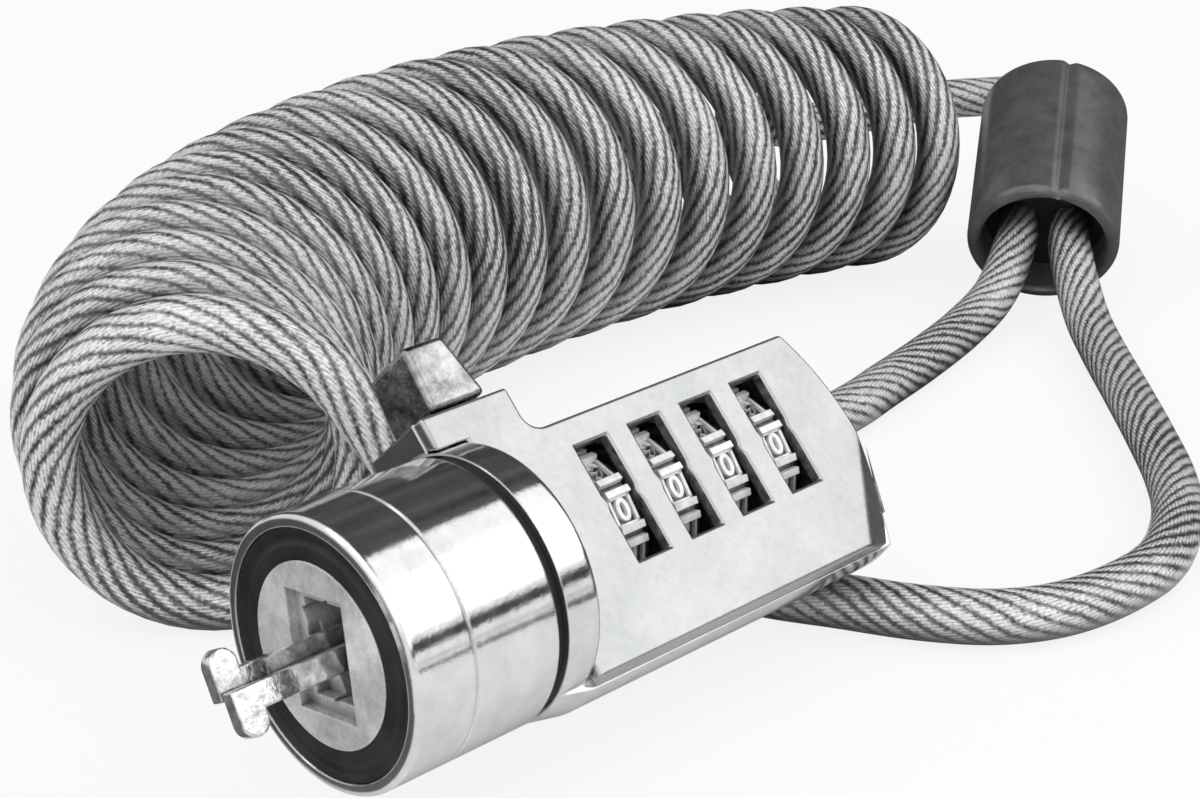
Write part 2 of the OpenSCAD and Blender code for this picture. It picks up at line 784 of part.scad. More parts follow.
ferrule_axis = [cos(ferrule_tilt) * cos(ferrule_heading), cos(ferrule_tilt) * sin(ferrule_heading),
    sin(ferrule_tilt)];
ferrule_side = [-sin(ferrule_heading), cos(ferrule_heading), 0];
ferrule_top = ferrule_mouth + ferrule_len * ferrule_axis;
web_depth = 4;
top_wall = 1.5;
strand_left = ferrule_mouth + web_depth * ferrule_axis + strand_gap / 2 * ferrule_side;
strand_right = ferrule_mouth + web_depth * ferrule_axis - strand_gap / 2 * ferrule_side;

module in_ferrule() {
    translate(ferrule_mouth) rotate([0, 0, ferrule_heading]) rotate([0, 90 - ferrule_tilt, 0]) children();
}

// Barrel that grips the cable's end, held to the casing by its pivot
module cable_socket() {
    lip = 0.4;
    color("#3a3d3f") translate([socket_x, socket_y, socket_top - socket_len]) difference() {
        union() {
            cylinder(h = socket_len - lip, r = socket_r);
            cylinder(h = socket_len, r = socket_r - lip);
        }
        translate([0, 0, socket_len - socket_grip]) cylinder(h = socket_len, r = cable_r);
        translate([0, -socket_r - cut, pivot_z - socket_top + socket_len]) rotate([-90, 0, 0])
            cylinder(h = socket_r + cut, r = pivot_r);
    }
}

module cable_pivot() {
    color("gray") translate([socket_x, pivot_in, pivot_z]) rotate([-90, 0, 0])
        cylinder(h = socket_y - pivot_in - seat_gap, r = pivot_r);
}

module cable_tail() {
    low = [socket_x, socket_y, socket_top - socket_grip];
    mouth = low + [0, 0, socket_grip];
    middle = (coil_first + mouth) / 2 + [0, 0.1, 0];
    color("#9fa8a6") tube(smooth([coil_first, middle, mouth, low], 2), cable_r, 8);
}

module cable_coil() {
    color("#9fa8a6") tube(concat([coil_first], coil_path, [coil_last]), cable_r, coil_sides);
}

module cable_lead() {
    color("#9fa8a6") tube(smooth(concat(
        [coil_last, coil_last + cable_r * coil_out], [for (p = lead_offsets) [coil_end.x, coil_end.y, 0] + p],
        [ferrule_top + 2 * ferrule_axis, ferrule_top - top_wall * ferrule_axis]), 3), cable_r, 8);
}

module cable_loop() {
    base = [ferrule_mouth.x, ferrule_mouth.y, lay_z];
    color("#9fa8a6") tube(smooth(concat(
        [strand_right, strand_right - web_depth * ferrule_axis], [for (p = right_offsets) base + p],
        under_route, [for (p = left_offsets) base + p],
        [strand_left - web_depth * ferrule_axis, strand_left]), 2), cable_r, 8);
}

module ferrule_sleeve() {
    lip = 1.1;
    color("#4b4f52") in_ferrule() difference() {
        rotate_extrude() difference() {
            union() {
                translate([0, lip]) square([ferrule_r, ferrule_len - 2 * lip]);
                square([ferrule_r - lip, ferrule_len]);
                translate([ferrule_r - lip, lip]) circle(lip);
                translate([ferrule_r - lip, ferrule_len - lip]) circle(lip);
            }
            translate([-cut, -cut]) square([ferrule_r - ferrule_wall + cut, ferrule_len - top_wall + cut]);
            translate([-cut, -cut]) square([cable_r + cut, 2 * ferrule_len]);
            translate([-2 * ferrule_r, -cut]) square([2 * ferrule_r, 2 * ferrule_len]);
        }
    }
}

// Crimped slug that grips both strands, with a rounded web between them
module ferrule_core() {
    color("#35383a") in_ferrule()
        translate([0, 0, web_depth])
            cylinder(h = ferrule_len - top_wall - web_depth - seat_gap, r = ferrule_r - ferrule_wall - seat_gap);
}

nose_ring();
rubber_bumper();
nose_disc();
hook_upper();
hook_lower();
hook_pin();
hook_carrier();
nose_collar();
collar_gasket();
body_casing();
body_cover();
thumb_slide();
slide_carriage();
push_rod();
slide_spring();
spindle();
dial(0);  // dial_1
dial(1);  // dial_2
dial(2);  // dial_3
dial(3);  // dial_4
clutch(0);  // clutch_1
clutch(1);  // clutch_2
clutch(2);  // clutch_3
clutch(3);  // clutch_4
dial_spacers();
detent_spring();
rear_bearing();
reset_screw();
cover_screws();
cable_socket();
cable_pivot();
cable_tail();
cable_coil();
cable_lead();
cable_loop();
ferrule_sleeve();
ferrule_core();
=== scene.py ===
import math
import bmesh
import bpy
from mathutils import Matrix, Vector


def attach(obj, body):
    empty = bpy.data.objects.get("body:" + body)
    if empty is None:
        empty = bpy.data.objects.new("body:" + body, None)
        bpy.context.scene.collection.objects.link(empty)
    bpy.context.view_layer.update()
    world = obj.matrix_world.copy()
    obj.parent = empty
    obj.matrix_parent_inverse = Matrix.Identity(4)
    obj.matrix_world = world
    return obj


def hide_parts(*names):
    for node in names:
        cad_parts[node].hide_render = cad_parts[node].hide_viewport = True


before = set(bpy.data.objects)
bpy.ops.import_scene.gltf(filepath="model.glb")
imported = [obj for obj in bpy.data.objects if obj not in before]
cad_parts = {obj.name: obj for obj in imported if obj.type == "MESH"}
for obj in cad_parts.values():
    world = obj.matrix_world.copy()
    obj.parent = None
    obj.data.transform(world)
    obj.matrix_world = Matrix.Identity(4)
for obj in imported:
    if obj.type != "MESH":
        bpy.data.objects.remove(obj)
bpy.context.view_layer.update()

# ---- camera ----------------------------------------------------------------------
# A long lens looks down at the lock from its nose end, over the dial plate, with the
# coil behind and the loop to the right.
right = Vector((0.7106, -0.7036, 0.0))
down = Vector((-0.2751, -0.2779, -0.9204))
ahead = Vector((0.6476, 0.6540, -0.3910))
stand = Vector((-0.092339, -0.119755, 0.082343))


def placed(name, data):
    """A new object with this mesh, lamp or lens, put in the scene."""
    made = bpy.data.objects.new(name, data)
    bpy.context.collection.objects.link(made)
    return made


lens = bpy.data.cameras.new("camera")
lens.lens = 77.03
lens.sensor_width = 36
lens.clip_start = 0.005
camera = placed("camera", lens)
camera.matrix_world = Matrix((
    (right.x, -down.x, -ahead.x, stand.x),
    (right.y, -down.y, -ahead.y, stand.y),
    (right.z, -down.z, -ahead.z, stand.z),
    (0, 0, 0, 1),
))
bpy.context.scene.camera = camera

# ---- cable -----------------------------------------------------------------------
# Steel wire rope in a clear plastic jacket, wound on a mandrel so that it springs back
# into a coil. One end is held in the lock's swivel, the other runs into the ferrule.
mm = 0.001
cable_r = 2.25 * mm
floor_z = -15.2 * mm
lay_z = floor_z + cable_r

# The coil's axis is a bowed line from its start to its end, drawn by two pulls. For the
# turns, winding_r and winding_facing each give the start, the end and the bow between.
coil_turns = 18 + 1 / 3
steps_a_turn = 48
coil_steps = round(steps_a_turn * coil_turns)
coil_start = Vector((12.641, 27.579)) * mm
coil_span = 105.9 * mm
coil_pull_1 = coil_start + Vector((0.13 * coil_span, 38.6 * mm))
coil_pull_2 = coil_start + Vector((0.68 * coil_span, 37.3 * mm))
coil_end = coil_start + Vector((coil_span, 24 * mm))
winding_r = (12.55 * mm, 11.95 * mm, 1.3 * mm)
winding_facing = (43, 1, 4)
first_turn = 150


def smooth_route(points, steps):
    """A smooth curve through the points, in equal steps between neighbours."""
    made = []
    for i in range(len(points) - 1):
        a, b = points[max(i - 1, 0)], points[i]
        c, d = points[i + 1], points[min(i + 2, len(points) - 1)]
        for k in range(steps):
            u = k / steps
            made.append(0.5 * (2 * b + (c - a) * u + (2 * a - 5 * b + 4 * c - d) * u * u
                               + (3 * b - a - 3 * c + d) * u ** 3))
    return made + [points[-1]]


def bowed(start, end, bow, v):
    """The value at the fraction v of the way from start to end."""
    return start * (1 - v) + end * v + 4 * bow * v * (1 - v)


def coil_point(v):
    """Place on the coil at the fraction v of its course."""
    wind = bowed(*winding_r, v)
    facing = math.radians(bowed(*winding_facing, v))
    phase = math.radians(first_turn - 360 * coil_turns * v)
    u = 1 - v
    axis = u ** 3 * coil_start + 3 * u * u * v * coil_pull_1
    axis += 3 * u * v * v * coil_pull_2 + v ** 3 * coil_end
    swing = wind * math.cos(phase)
    return Vector((axis.x - swing * math.sin(facing), axis.y + swing * math.cos(facing),
                   lay_z + wind + wind * math.sin(phase)))


def piece_from(name, mesh):
    """The finished mesh as a new piece."""
    data = bpy.data.meshes.new(name)
    mesh.to_mesh(data)
    mesh.free()
    return placed(name, data)


def rope_piece(name, path, radius, sides, lay=1.0):
    """A tube along the path. The UVs are its length in mm, times the lay, and the way round."""
    headings = [(path[min(i + 1, len(path) - 1)] - path[max(i - 1, 0)]).normalized()
                for i in range(len(path))]
    side = Vector((0, 0, 1)) if abs(headings[0].z) < 0.9 else Vector((1, 0, 0))
    mesh = bmesh.new()
    uv = mesh.loops.layers.uv.new("UVMap")
    rings, lengths, length = [], [], 0
    for i, (point, heading) in enumerate(zip(path, headings)):
        side = (side - side.dot(heading) * heading).normalized()
        across = heading.cross(side)
        length += (point - path[i - 1]).length if i else 0
        lengths.append(length / mm * lay)
        rings.append([mesh.verts.new(point + radius * (math.cos(math.tau * k / sides) * side
                                                       + math.sin(math.tau * k / sides) * across))
                      for k in range(sides)])
    for i in range(len(path) - 1):
        for k in range(sides):
            n = (k + 1) % sides
            face = mesh.faces.new((rings[i][k], rings[i + 1][k], rings[i + 1][n], rings[i][n]))
            face.smooth = True
            for loop, place in zip(face.loops, ((i, k), (i + 1, k), (i + 1, k + 1), (i, k + 1))):
                loop[uv].uv = (lengths[place[0]], place[1] / sides)
    for ring in (rings[0], rings[-1]):
        mesh.faces.new(ring)
    bmesh.ops.recalc_face_normals(mesh, faces=mesh.faces)
    return piece_from(name, mesh)


def new_finish(name, colour, metallic, roughness):
    """A material with its plain values set, its node tree and its shader."""
    made = bpy.data.materials.new(name)
    made.use_nodes = True
    made.diffuse_color = (*colour, 1)
    shader = made.node_tree.nodes["Principled BSDF"]
    shader.inputs["Base Color"].default_value = (*colour, 1)
    shader.inputs["Metallic"].default_value = metallic
    shader.inputs["Roughness"].default_value = roughness
    return made, made.node_tree, shader


def reckon(tree, kind, *values):
    """A Math node fed with sockets or numbers."""
    node = tree.nodes.new("ShaderNodeMath")
    node.operation = kind
    for socket, value in zip(node.inputs, values):
        if isinstance(value, (int, float)):
            socket.default_value = value
        else:
            tree.links.new(value, socket)
    return node.outputs[0]


def plus(tree, a, b):
    return reckon(tree, "ADD", a, b)


def times(tree, a, b):
    return reckon(tree, "MULTIPLY", a, b)


def ridge(tree, turns):
    """Rises from 0 to 1 and falls back, once a turn."""
    return times(tree, reckon(tree, "PINGPONG", turns, 0.5), 2)


def noise(tree, scale, detail=3, rough=0.5, spots=None):
    """Noise in the piece's own coordinates, its scale in cycles to the metre, or over spots."""
    made = tree.nodes.new("ShaderNodeTexNoise")
    made.inputs["Scale"].default_value = scale
    made.inputs["Detail"].default_value = detail
    made.inputs["Roughness"].default_value = rough
    if spots is None:
        spots = tree.nodes.new("ShaderNodeTexCoord").outputs["Object"]
    tree.links.new(spots, made.inputs["Vector"])
    return made.outputs["Fac"]


def unevenness(tree, source, depth):
    """The noise as a value about zero, to be added to a tone."""
    return times(tree, reckon(tree, "SUBTRACT", source, 0.5), depth)


def spread(tree, source, low, high, dark=0.3, light=0.7):
    """A value that runs from low to high as the source runs from dark to light."""
    made = tree.nodes.new("ShaderNodeMapRange")
    made.inputs["From Min"].default_value = dark
    made.inputs["From Max"].default_value = light
    made.inputs["To Min"].default_value = low
    made.inputs["To Max"].default_value = high
    tree.links.new(source, made.inputs["Value"])
    return made.outputs["Result"]


def shades(tree, source, stops):
    """A colour that follows the source through the stops, each a place and a colour."""
    made = tree.nodes.new("ShaderNodeValToRGB")
    elements = made.color_ramp.elements
    for element, (spot, shade) in ((elements[0], stops[0]), (elements[1], stops[-1])):
        element.position = spot
        element.color = (*shade, 1)
    for spot, shade in stops[1:-1]:
        elements.new(spot).color = (*shade, 1)
    tree.links.new(source, made.inputs["Fac"])
    return made.outputs["Color"]


def dimmed(tree, colour, reach, power):
    """The colour with painted shade, darker in narrow gaps where little light comes."""
    crevice = tree.nodes.new("ShaderNodeAmbientOcclusion")
    crevice.samples = 4
    crevice.inputs["Distance"].default_value = reach
    made = tree.nodes.new("ShaderNodeVectorMath")
    made.operation = "SCALE"
    tree.links.new(colour, made.inputs[0])
    tree.links.new(reckon(tree, "POWER", crevice.outputs["AO"], power), made.inputs["Scale"])
    return made.outputs["Vector"]


def carved(tree, shader, height, relief, depth):
    """Fine relief on the surface."""
    made = tree.nodes.new("ShaderNodeBump")
    made.inputs["Strength"].default_value = relief
    made.inputs["Distance"].default_value = depth
    tree.links.new(height, made.inputs["Height"])
    tree.links.new(made.outputs["Normal"], shader.inputs["Normal"])
    return made


# Strands and wires are counted round the rope, and the two paces say how many of them
# pass in each mm along it. Each strand's crest has a painted highlight with painted glints
# on its wires, and the grooves between the strands are painted darker as shade.
strands, wires = 12, 44
strand_pace, wire_pace = 0.5, 0.6
strand_waver = 1.3
groove_tone = 0.34
wire_highlight = 0.4
painted_glint_round, painted_glint_along = 3.2, 0.8
cloud_depth, grain_depth = 0.7, 0.9
rope_shades = ((0.05, (0.03, 0.033, 0.03)), (0.2, (0.19, 0.2, 0.19)), (0.34, (0.44, 0.455, 0.435)),
               (0.52, (0.9, 0.92, 0.89)), (0.74, (1, 1, 1)))

steel_rope, tree, shader = new_finish("jacketed_steel_rope", (0.3, 0.32, 0.3), 0.15, 0.3)
on_rope = tree.nodes.new("ShaderNodeSeparateXYZ")
tree.links.new(tree.nodes.new("ShaderNodeUVMap").outputs["UV"], on_rope.inputs[0])
along, around = on_rope.outputs["X"], on_rope.outputs["Y"]
strand_turn = reckon(tree, "SUBTRACT", times(tree, around, strands), times(tree, along, strand_pace))
strand_turn = plus(tree, strand_turn, times(tree, noise(tree, 140, 2), strand_waver))
strand = ridge(tree, strand_turn)
wire = ridge(tree, plus(tree, times(tree, along, wire_pace), times(tree, around, wires)))
painted_glint_spots = tree.nodes.new("ShaderNodeCombineXYZ")
tree.links.new(times(tree, strand_turn, painted_glint_round), painted_glint_spots.inputs[0])
tree.links.new(times(tree, along, painted_glint_along), painted_glint_spots.inputs[1])
painted_glint = spread(tree, noise(tree, 1, 4, 0.75, painted_glint_spots.outputs[0]), 0, 1, dark=0.4, light=0.58)
groove_shaded_tone = times(tree, reckon(tree, "POWER", strand, 0.5), groove_tone)
crest_highlight = reckon(tree, "POWER", strand, 2)
tone = plus(tree, groove_shaded_tone, times(tree, crest_highlight, times(tree, wire, plus(tree, painted_glint, wire_highlight))))
tone = plus(tree, tone, unevenness(tree, noise(tree, 45, 4, 0.6), cloud_depth))
tone = plus(tree, tone, unevenness(tree, noise(tree, 2600, 3, 0.7), grain_depth))
# Painted shade: the rope is darker where its turns lie close together.
rope_colour_with_shade = dimmed(tree, shades(tree, tone, rope_shades), reach=4 * mm, power=2)
tree.links.new(rope_colour_with_shade, shader.inputs["Base Color"])
carved(tree, shader, tone, relief=1.0, depth=0.12 * mm)
shader.inputs["Coat Weight"].default_value = 0.7
shader.inputs["Coat Roughness"].default_value = 0.15
shader.inputs["Coat IOR"].default_value = 1.5

coil_path = [coil_point(i / coil_steps) for i in range(coil_steps + 1)]
coil_in = (coil_path[1] - coil_path[0]).normalized()
coil_out = (coil_path[-1] - coil_path[-2]).normalized()
coil_first = coil_path[0] - 2 * cable_r * coil_in
coil_last = coil_path[-1] + 2 * cable_r * coil_out

# the tail, from the grip in the swivel to the coil
socket_top = Vector((23.2, 16.1, -2.6)) * mm
grip = Vector((0, 0, 2.6 * mm))
tail_bow = Vector((0, 0.1 * mm, 0))
tail = [socket_top - grip, socket_top, (coil_first + socket_top) / 2 + tail_bow, coil_first]

# the lead, from the coil over into the upper end of the ferrule
lead_offsets = ((2.4, 15.6, -3.9), (7.4, 15.4, -4.6), (12.9, 13.1, -4.3), (18.3, 9.6, -3.5),
                (22.8, 5.8, -2.8), (25.7, 1.6, -2.2), (26, -2.8, -0.8), (23.7, -6.6, 0.8))
ferrule_r = 7.9 * mm
ferrule_len = 21.6 * mm
ferrule_heading, ferrule_tilt = math.radians(34), math.radians(24)
ferrule_axis = Vector((math.cos(ferrule_tilt) * math.cos(ferrule_heading),
                       math.cos(ferrule_tilt) * math.sin(ferrule_heading), math.sin(ferrule_tilt)))
ferrule_side = Vector((-math.sin(ferrule_heading), math.cos(ferrule_heading), 0))
ferrule_mouth = Vector((coil_end.x + 0.3 * mm, coil_end.y - 23.8 * mm,
                        floor_z + ferrule_r * math.cos(ferrule_tilt) + 0.05 * mm))
ferrule_top = ferrule_mouth + ferrule_len * ferrule_axis
web_depth, top_wall = 4 * mm, 1.5 * mm
lead = [coil_last, coil_last + cable_r * coil_out]
lead += [Vector((coil_end.x + x * mm, coil_end.y + y * mm, z * mm)) for x, y, z in lead_offsets]
lead += [ferrule_top + 2 * mm * ferrule_axis, ferrule_top - top_wall * ferrule_axis]

tail_steps, straight_steps, lead_steps = 5, 3, 6
main_path = smooth_route(tail, tail_steps)[:-1]
main_path += [coil_first.lerp(coil_path[0], k / straight_steps) for k in range(straight_steps)]
main_path += coil_path
main_path += [coil_path[-1].lerp(coil_last, k / straight_steps) for k in range(1, straight_steps)]
main_path += smooth_route(lead, lead_steps)
coiled_cable = rope_piece("coiled_cable", main_path, cable_r, sides=20, lay=0.65)
coiled_cable.data.materials.append(steel_rope)
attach(coiled_cable, "body")
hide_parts("cable_tail", "cable_coil", "cable_lead")

# ---- anchor loop -------------------------------------------------------------------
# The end of the same cable, bent round into a loop. Both strands go into the ferrule,
# and the loop lies flat and runs under the rear of the lock.
strand_gap = 5.6 * mm
strand_left = ferrule_mouth + web_depth * ferrule_axis + strand_gap / 2 * ferrule_side
strand_right = ferrule_mouth + web_depth * ferrule_axis - strand_gap / 2 * ferrule_side
right_offsets = ((-4, -8.5, 1.3), (-8.7, -14, 0), (-17, -22.9, 0), (-23.6, -29.9, 0),
                 (-30, -36.3, 0), (-36.2, -41.2, 0), (-43.8, -44.9, 0))
left_offsets = ((-46.3, -7, 0), (-37.8, -6.2, 0), (-31.7, -5, 0), (-23.6, -3.4, 0),
                (-14.7, -1.4, 0.3), (-7.6, 0.1, 1.8))
under_route = ((68.4, -17.8), (61.8, -16.7), (56.8, -13.8), (53, -9), (50, -3.2), (47, 2.8),
               (45.6, 8.8), (47.4, 14.6), (52.4, 18.6), (58.6, 20.2), (65, 20.6))


def from_mouth(offsets):
    """Points on the table, given in mm from the ferrule's mouth."""
    return [Vector((ferrule_mouth.x + x * mm, ferrule_mouth.y + y * mm, lay_z + z * mm))
            for x, y, z in offsets]


under_lock = [Vector((x * mm, y * mm, lay_z)) for x, y in under_route]
loop = [strand_right, strand_right - web_depth * ferrule_axis]
loop += from_mouth(right_offsets) + under_lock + from_mouth(left_offsets)
loop += [strand_left - web_depth * ferrule_axis, strand_left]
loop_steps = 8
loop_path = smooth_route(loop, loop_steps)
anchor_loop = rope_piece("anchor_loop", loop_path, cable_r, sides=24)
anchor_loop.data.materials.append(steel_rope)
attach(anchor_loop, "body")
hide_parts("cable_loop")

# ---- ferrule ---------------------------------------------------------------------
# A grey plastic sleeve moulded round a crimped slug, which clamps the end of the cable
# back on itself. A parting seam runs along its back, and a web stands between the strands.
ferrule_grey, tree, shader = new_finish("ferrule_grey", (0.07, 0.075, 0.083), 0.3, 0.26)
streaks = noise(tree, 420, 5, 0.7)
sleeve_tint = shades(tree, streaks, ((0, (0.04, 0.042, 0.041)), (1, (0.2, 0.207, 0.2))))
tree.links.new(sleeve_tint, shader.inputs["Base Color"])
carved(tree, shader, streaks, relief=0.25, depth=0.1 * mm)

ferrule_back = ferrule_axis.cross(ferrule_side)
sleeve_wall = 1.6 * mm
outer_skin = ferrule_r - 1 * mm
lip = 1.1 * mm
chamfer = 0.3 * mm
cable_hole = cable_r + 0.05 * mm
seam_turn, seam_width, seam_depth = math.radians(100), 3.2, 0.45 * mm
sleeve_sides, lip_steps = 144, 6


def arc(x, y, r, start, end, count):
    """Points of a rounded corner, in degrees."""
    turns = [math.radians(start + (end - start) * i / count) for i in range(count + 1)]
    return [(x + r * math.cos(turn), y + r * math.sin(turn)) for turn in turns]


def sleeve_point(turn, r, station):
    """A point of the sleeve, with the seam sunk in its outer skin."""
    away = math.degrees(abs((turn - seam_turn + math.pi) % math.tau - math.pi))
    if r > outer_skin:
        r -= seam_depth * math.exp(-(away / seam_width) ** 2)
    return (ferrule_mouth + station * ferrule_axis
            + r * (math.cos(turn) * ferrule_side + math.sin(turn) * ferrule_back))


outline = arc(ferrule_r - lip, lip, lip, -90, 0, lip_steps)
outline += [(ferrule_r, station * mm) for station in (4, 7, 10, 13, 16, 19)]
outline += arc(ferrule_r - lip, ferrule_len - lip, lip, 0, 90, lip_steps)
outline += [(cable_r + chamfer, ferrule_len), (cable_hole, ferrule_len - chamfer),
            (cable_hole, ferrule_len - top_wall), (ferrule_r - sleeve_wall, ferrule_len - top_wall),
            (ferrule_r - sleeve_wall, 1 * mm), (ferrule_r - sleeve_wall + chamfer, chamfer)]

mesh = bmesh.new()
rings = [[mesh.verts.new(sleeve_point(math.tau * i / sleeve_sides, r, station)) for r, station in outline]
         for i in range(sleeve_sides)]
for i in range(sleeve_sides):
    n = (i + 1) % sleeve_sides
    for k in range(len(outline)):
        j = (k + 1) % len(outline)
        face = mesh.faces.new((rings[i][k], rings[i][j], rings[n][j], rings[n][k]))
        face.smooth = True
bmesh.ops.recalc_face_normals(mesh, faces=mesh.faces)
ferrule_barrel = piece_from("ferrule_barrel", mesh)
ferrule_barrel.data.materials.append(ferrule_grey)
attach(ferrule_barrel, "body")
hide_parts("ferrule_sleeve")


def finish_node(finish, *names):
    """Puts a finish on CAD nodes that keep their own shape."""
    for name in names:
        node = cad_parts[name]
        node.data.materials.clear()
        node.data.materials.append(finish)


ferrule_black, tree, shader = new_finish("ferrule_black", (0.02, 0.021, 0.023), 0.0, 0.45)
carved(tree, shader, noise(tree, 900), relief=0.3, depth=0.1 * mm)
finish_node(ferrule_black, "ferrule_core")


# ---- nose ring and collar ----------------------------------------------------------
# Die-cast zinc, turned true on the outside, then polished and chromed to a mirror. Both
# are pressed on the hook carrier, with a fine seam between them.
def worked_finish(name, colour, metallic, roughness, fine, dark, light, relief, depth, edge,
                  broad=None, gloss=None, crevice_shade=None):
    """A finish whose tone runs from dark to light with the broad noise, or else the fine one.

    The fine noise gives the relief, and the roughness where gloss sets its two ends. Edges
    shine as if rounded to the radius edge. Crevice shade, when given, is the reach and power
    of the painted shade that darkens crevices."""
    finish, tree, shader = new_finish(name, colour, metallic, roughness)
    fine_marks = noise(tree, *fine)
    broad_marks = noise(tree, *broad) if broad else fine_marks
    tone = shades(tree, broad_marks, ((0.3, dark), (0.7, light)))
    if crevice_shade:
        tone = dimmed(tree, tone, *crevice_shade)
    tree.links.new(tone, shader.inputs["Base Color"])
    if gloss:
        tree.links.new(spread(tree, fine_marks, *gloss), shader.inputs["Roughness"])
    rounding = tree.nodes.new("ShaderNodeBevel")
    rounding.samples = 4
    rounding.inputs["Radius"].default_value = edge
    marks = carved(tree, shader, fine_marks, relief, depth)
    tree.links.new(rounding.outputs["Normal"], marks.inputs["Normal"])
    return finish


chrome = worked_finish("mirror_chrome", (0.74, 0.75, 0.76), metallic=1.0, roughness=0.07,
                       fine=(900, 5, 0.7), broad=(240, 5, 0.7), gloss=(0.05, 0.14),
                       dark=(0.6, 0.61, 0.62), light=(0.82, 0.83, 0.84),
                       relief=0.2, depth=0.06 * mm, edge=0.25 * mm)
finish_node(chrome, "nose_ring", "nose_collar")

# ---- bumper and gasket ---------------------------------------------------------------
# Two rings moulded in black rubber. The bumper sits in the mouth of the nose and keeps
# the lock from scratching the case; the gasket fills the groove behind the collar.
rubber = worked_finish("black_rubber", (0.02, 0.022, 0.024), metallic=0.0, roughness=0.55,
                       fine=(2600, 3), broad=(300,),
                       dark=(0.006, 0.007, 0.008), light=(0.02, 0.022, 0.025),
                       relief=0.3, depth=0.03 * mm, edge=0.2 * mm)
rubber_shader = rubber.node_tree.nodes["Principled BSDF"]
rubber_shader.inputs["Specular IOR Level"].default_value = 0.3
finish_node(rubber, "rubber_bumper", "collar_gasket")

# ---- face disc and hooks -------------------------------------------------------------
# The disc is a zinc casting left bright and a little rough. The hooks are stamped from
# hardened steel and barrel polished, and their feet fold together to leave the slot. The
# carrier that holds them is plain dull steel.
# The disc and the hooks have painted shade, darker in their narrow gaps and joints.
zinc = worked_finish("bright_zinc", (0.7, 0.71, 0.72), metallic=0.4, roughness=0.3,
                     fine=(700, 5, 0.7), broad=(210, 7, 0.8), gloss=(0.18, 0.36),
                     dark=(0.42, 0.44, 0.445), light=(1, 1, 1), crevice_shade=(1.2 * mm, 1.0),
                     relief=0.6, depth=0.1 * mm, edge=0.3 * mm)
finish_node(zinc, "nose_disc")

hook_steel = worked_finish("hook_steel", (0.8, 0.8, 0.8), metallic=0.85, roughness=0.1,
                           fine=(1500, 3, 0.6), gloss=(0.06, 0.16),
                           dark=(0.38, 0.39, 0.39), light=(0.88, 0.88, 0.87), crevice_shade=(1.5 * mm, 1.5),
                           relief=0.4, depth=0.05 * mm, edge=0.15 * mm)
finish_node(hook_steel, "hook_pin")

carrier_steel = worked_finish("carrier_steel", (0.1, 0.1, 0.105), metallic=1.0, roughness=0.35,
                              fine=(800, 4), dark=(0.05, 0.05, 0.053), light=(0.16, 0.16, 0.165),
                              relief=0.3, depth=0.05 * mm, edge=0.2 * mm)
finish_node(carrier_steel, "hook_carrier")


def rounded_copy(name, node, edge, finish):
    """The node's own shape with its sharp edges rounded in the mesh."""
    weld, flat_to, sharp_from, shaded_from = 0.002 * mm, 0.5, 24, 35
    mesh = bmesh.new()
    mesh.from_mesh(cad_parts[node].data)
    bmesh.ops.remove_doubles(mesh, verts=mesh.verts, dist=weld)
    bmesh.ops.dissolve_limit(mesh, angle_limit=math.radians(flat_to), verts=mesh.verts, edges=mesh.edges)
    sharp = [line for line in mesh.edges
             if len(line.link_faces) == 2 and line.calc_face_angle(0) > math.radians(sharp_from)]
    bmesh.ops.bevel(mesh, geom=sharp, offset=edge, offset_type="OFFSET", segments=3, profile=0.5,
                    affect="EDGES", clamp_overlap=False)
    for face in mesh.faces:
        face.smooth = True
    piece = piece_from(name, mesh)
    piece.data.materials.append(finish)
    piece.data.set_sharp_from_angle(angle=math.radians(shaded_from))
    weigh = piece.modifiers.new("even_shading", "WEIGHTED_NORMAL")
    weigh.keep_sharp = True
    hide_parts(node)
    return piece


for side, body in (("upper", "hook_a"), ("lower", "hook_b")):
    hook = rounded_copy("hook_" + side + "_foot", "hook_" + side, 0.16 * mm, hook_steel)
    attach(hook, body)

# ---- casing and dial plate -----------------------------------------------------------
# The casing and its cover are zinc castings. The cover is the flat dial plate, satin
# chromed so that it stays pale; the casing behind it is as bright as the nose.
finish_node(chrome, "body_casing")
satin = worked_finish("satin_plate", (0.52, 0.53, 0.53), metallic=0.9, roughness=0.28,
                      fine=(1600, 4, 0.7), broad=(160, 6, 0.7), gloss=(0.16, 0.3),
                      dark=(0.35, 0.358, 0.36), light=(0.43, 0.437, 0.437),
                      relief=0.3, depth=0.05 * mm, edge=0.12 * mm)
plate = rounded_copy("dial_plate", "body_cover", 0.3 * mm, satin)
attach(plate, "body")

# the walls of the windows get the dials' black as painted shade in their recess
dial_black_and_window_shade = worked_finish("blackened_zinc_and_window_shade", (0.03, 0.03, 0.032), metallic=0.6, roughness=0.4,
                          fine=(1500, 4), dark=(0.04, 0.04, 0.042), light=(0.22, 0.22, 0.224),
                          relief=0.3, depth=0.05 * mm, edge=0.1 * mm)
plate.data.materials.append(dial_black_and_window_shade)
body_roll = math.radians(46)
windows_low, windows_high = (24.9, -3.6), (44.8, 6)
wall_facing = 0.6
unroll = Matrix.Rotation(-body_roll, 3, "X")
for face in plate.data.polygons:
    middle, facing = unroll @ face.center / mm, unroll @ face.normal
    in_windows = (windows_low[0] < middle.x < windows_high[0]
                  and windows_low[1] < middle.y < windows_high[1])
    if in_windows and abs(facing.z) < wall_facing:
        face.material_index = 1

